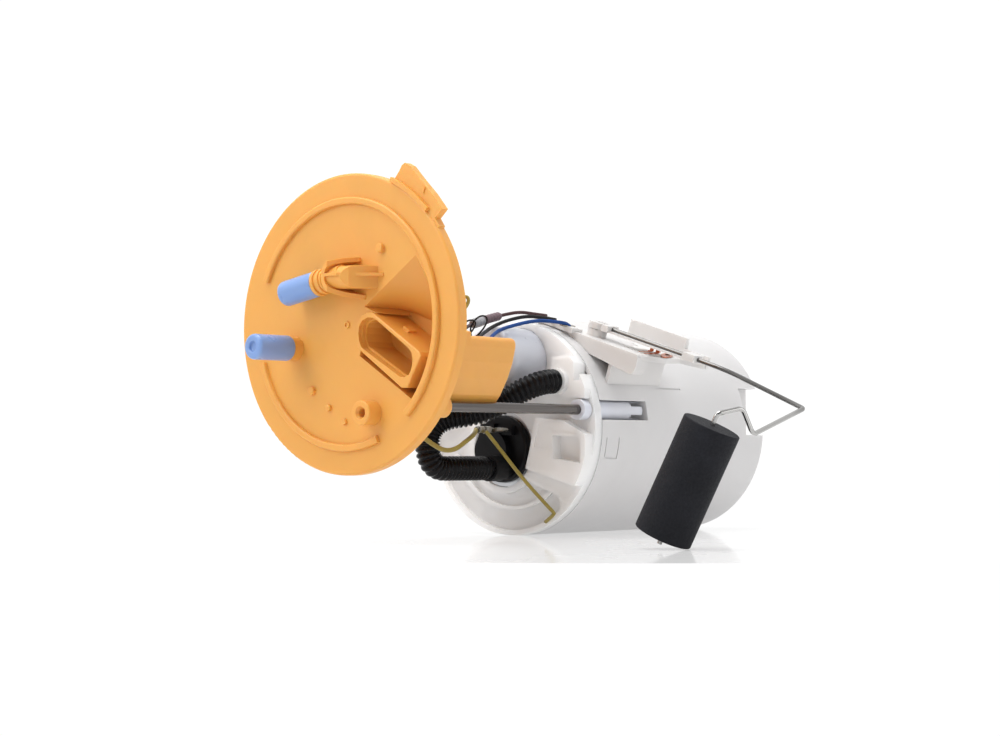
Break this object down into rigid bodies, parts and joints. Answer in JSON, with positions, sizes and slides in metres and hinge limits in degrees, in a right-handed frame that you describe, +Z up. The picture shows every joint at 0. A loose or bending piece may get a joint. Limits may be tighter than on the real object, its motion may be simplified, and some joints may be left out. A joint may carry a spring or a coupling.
{
  "type": "fuel pump module",
  "caption": "In-tank fuel delivery module: round flange with pipe stubs and socket, sprung guide rods, reservoir with pump and filter, and a float level sender.",
  "frame": {"origin": "centre of the flange's sealing face, on the flange's axis", "axes": "+X from the flange towards the reservoir's base, +Z up with the module lying on its side, the float on the -Y side"},
  "size_m": [0.2965, 0.2468, 0.1729],
  "materials": {
    "pom_yellow": "satin moulded acetal",
    "cap_blue": "translucent polyethylene",
    "steel_tube": "drawn tube",
    "spring_steel": "drawn wire",
    "pom_white": "satin natural acetal",
    "pom_grey": "satin natural acetal",
    "black_plastic": "satin",
    "zinc_can": "plated",
    "tin_plated": "tin plated",
    "copper_alloy": "stamped contact strip",
    "hose_black": "corrugated polyamide",
    "rubber_black": "nitrile",
    "foam_black": "closed-cell nitrile foam",
    "wire_brown": "insulation",
    "wire_black": "insulation",
    "wire_blue": "insulation",
    "wire_olive": "insulation",
    "sleeve_brown": "shrink tube",
    "ceramic_card": "thick-film resistor card",
    "track_ink": "fired resistor ink",
    "media": "pleated filter media",
    "mesh": "woven strainer mesh",
    "ferrite": "sintered ferrite",
    "carbon": "carbon",
    "laminations": "laminated core",
    "valve_rubber": "fluorocarbon"
  },
  "bodies": {
    "flange": {"flange_cover": "pom_yellow", "connector_pins": "tin_plated", "front_guide_rod": "steel_tube", "rear_guide_rod": "steel_tube", "rod_end_clips": "spring_steel", "preload_spring": "spring_steel"},
    "straight_cap": {"straight_pipe_cap": "cap_blue"},
    "angled_cap": {"angled_pipe_cap": "cap_blue"},
    "reservoir": {"front_guide_bush": "pom_white", "rear_guide_bush": "pom_white", "swirl_pot": "pom_white", "reservoir_lid": "pom_white", "filter_housing": "pom_grey", "filter_element": "media", "pressure_regulator": "zinc_can", "pump_can": "zinc_can", "pump_end_cap": "black_plastic", "pump_terminals": "tin_plated", "pump_bearings": "tin_plated", "pump_magnets": "ferrite", "pump_brushes": "carbon", "pump_plates": "black_plastic", "pump_isolator": "rubber_black", "suction_strainer": "mesh", "strainer_collar": "black_plastic", "inlet_valve": "valve_rubber", "jet_pump": "pom_white", "pump_hose": "hose_black", "hose_cuff": "rubber_black", "sender_housing": "pom_white", "resistor_card": "ceramic_card", "resistor_tracks": "track_ink", "sender_terminals": "tin_plated", "brown_lead": "wire_brown", "black_lead": "wire_black", "blue_lead": "wire_blue", "pump_lead": "wire_olive", "ground_lead": "wire_olive", "terminal_receptacle": "tin_plated", "splice_sleeve": "sleeve_brown"},
    "pump_rotor": {"pump_armature": "laminations", "pump_impeller": "black_plastic"},
    "float_arm": {"float_arm_wire": "steel_tube", "arm_lever": "pom_white", "wiper_contact": "copper_alloy"},
    "float": {"float_body": "foam_black"}
  },
  "joints": [
    {"name": "reservoir_slide", "type": "slide", "parent": "flange", "child": "reservoir", "axis": [1, 0, 0], "range_m": [-0.022, 0], "stiffness_N_per_m": 500, "springref_m": 0.02, "deforming": ["brown_lead", "black_lead", "blue_lead", "pump_lead", "preload_spring"]},
    {"name": "float_arm_hinge", "type": "hinge", "parent": "reservoir", "child": "float_arm", "pos_m": [0.138, -0.0374, 0.00479], "axis": [0, -0.309, 0.9511], "range_deg": [-18, 38]},
    {"name": "float_spin", "type": "hinge", "parent": "float_arm", "child": "float", "pos_m": [0.04915, -0.1541, -0.0716], "axis": [-0.1109, 0.4172, -0.902], "continuous": true},
    {"name": "rotor_spin", "type": "hinge", "parent": "reservoir", "child": "pump_rotor", "pos_m": [0.155, 0.0053, -0.0576], "axis": [1, 0, 0], "continuous": true},
    {"name": "straight_cap_pull", "type": "slide", "parent": "flange", "child": "straight_cap", "axis": [-1, 0, 0], "range_m": [0, 0.03]},
    {"name": "angled_cap_pull", "type": "slide", "parent": "flange", "child": "angled_cap", "axis": [0, 0.9848, -0.174], "range_m": [0, 0.03]}
  ]
}
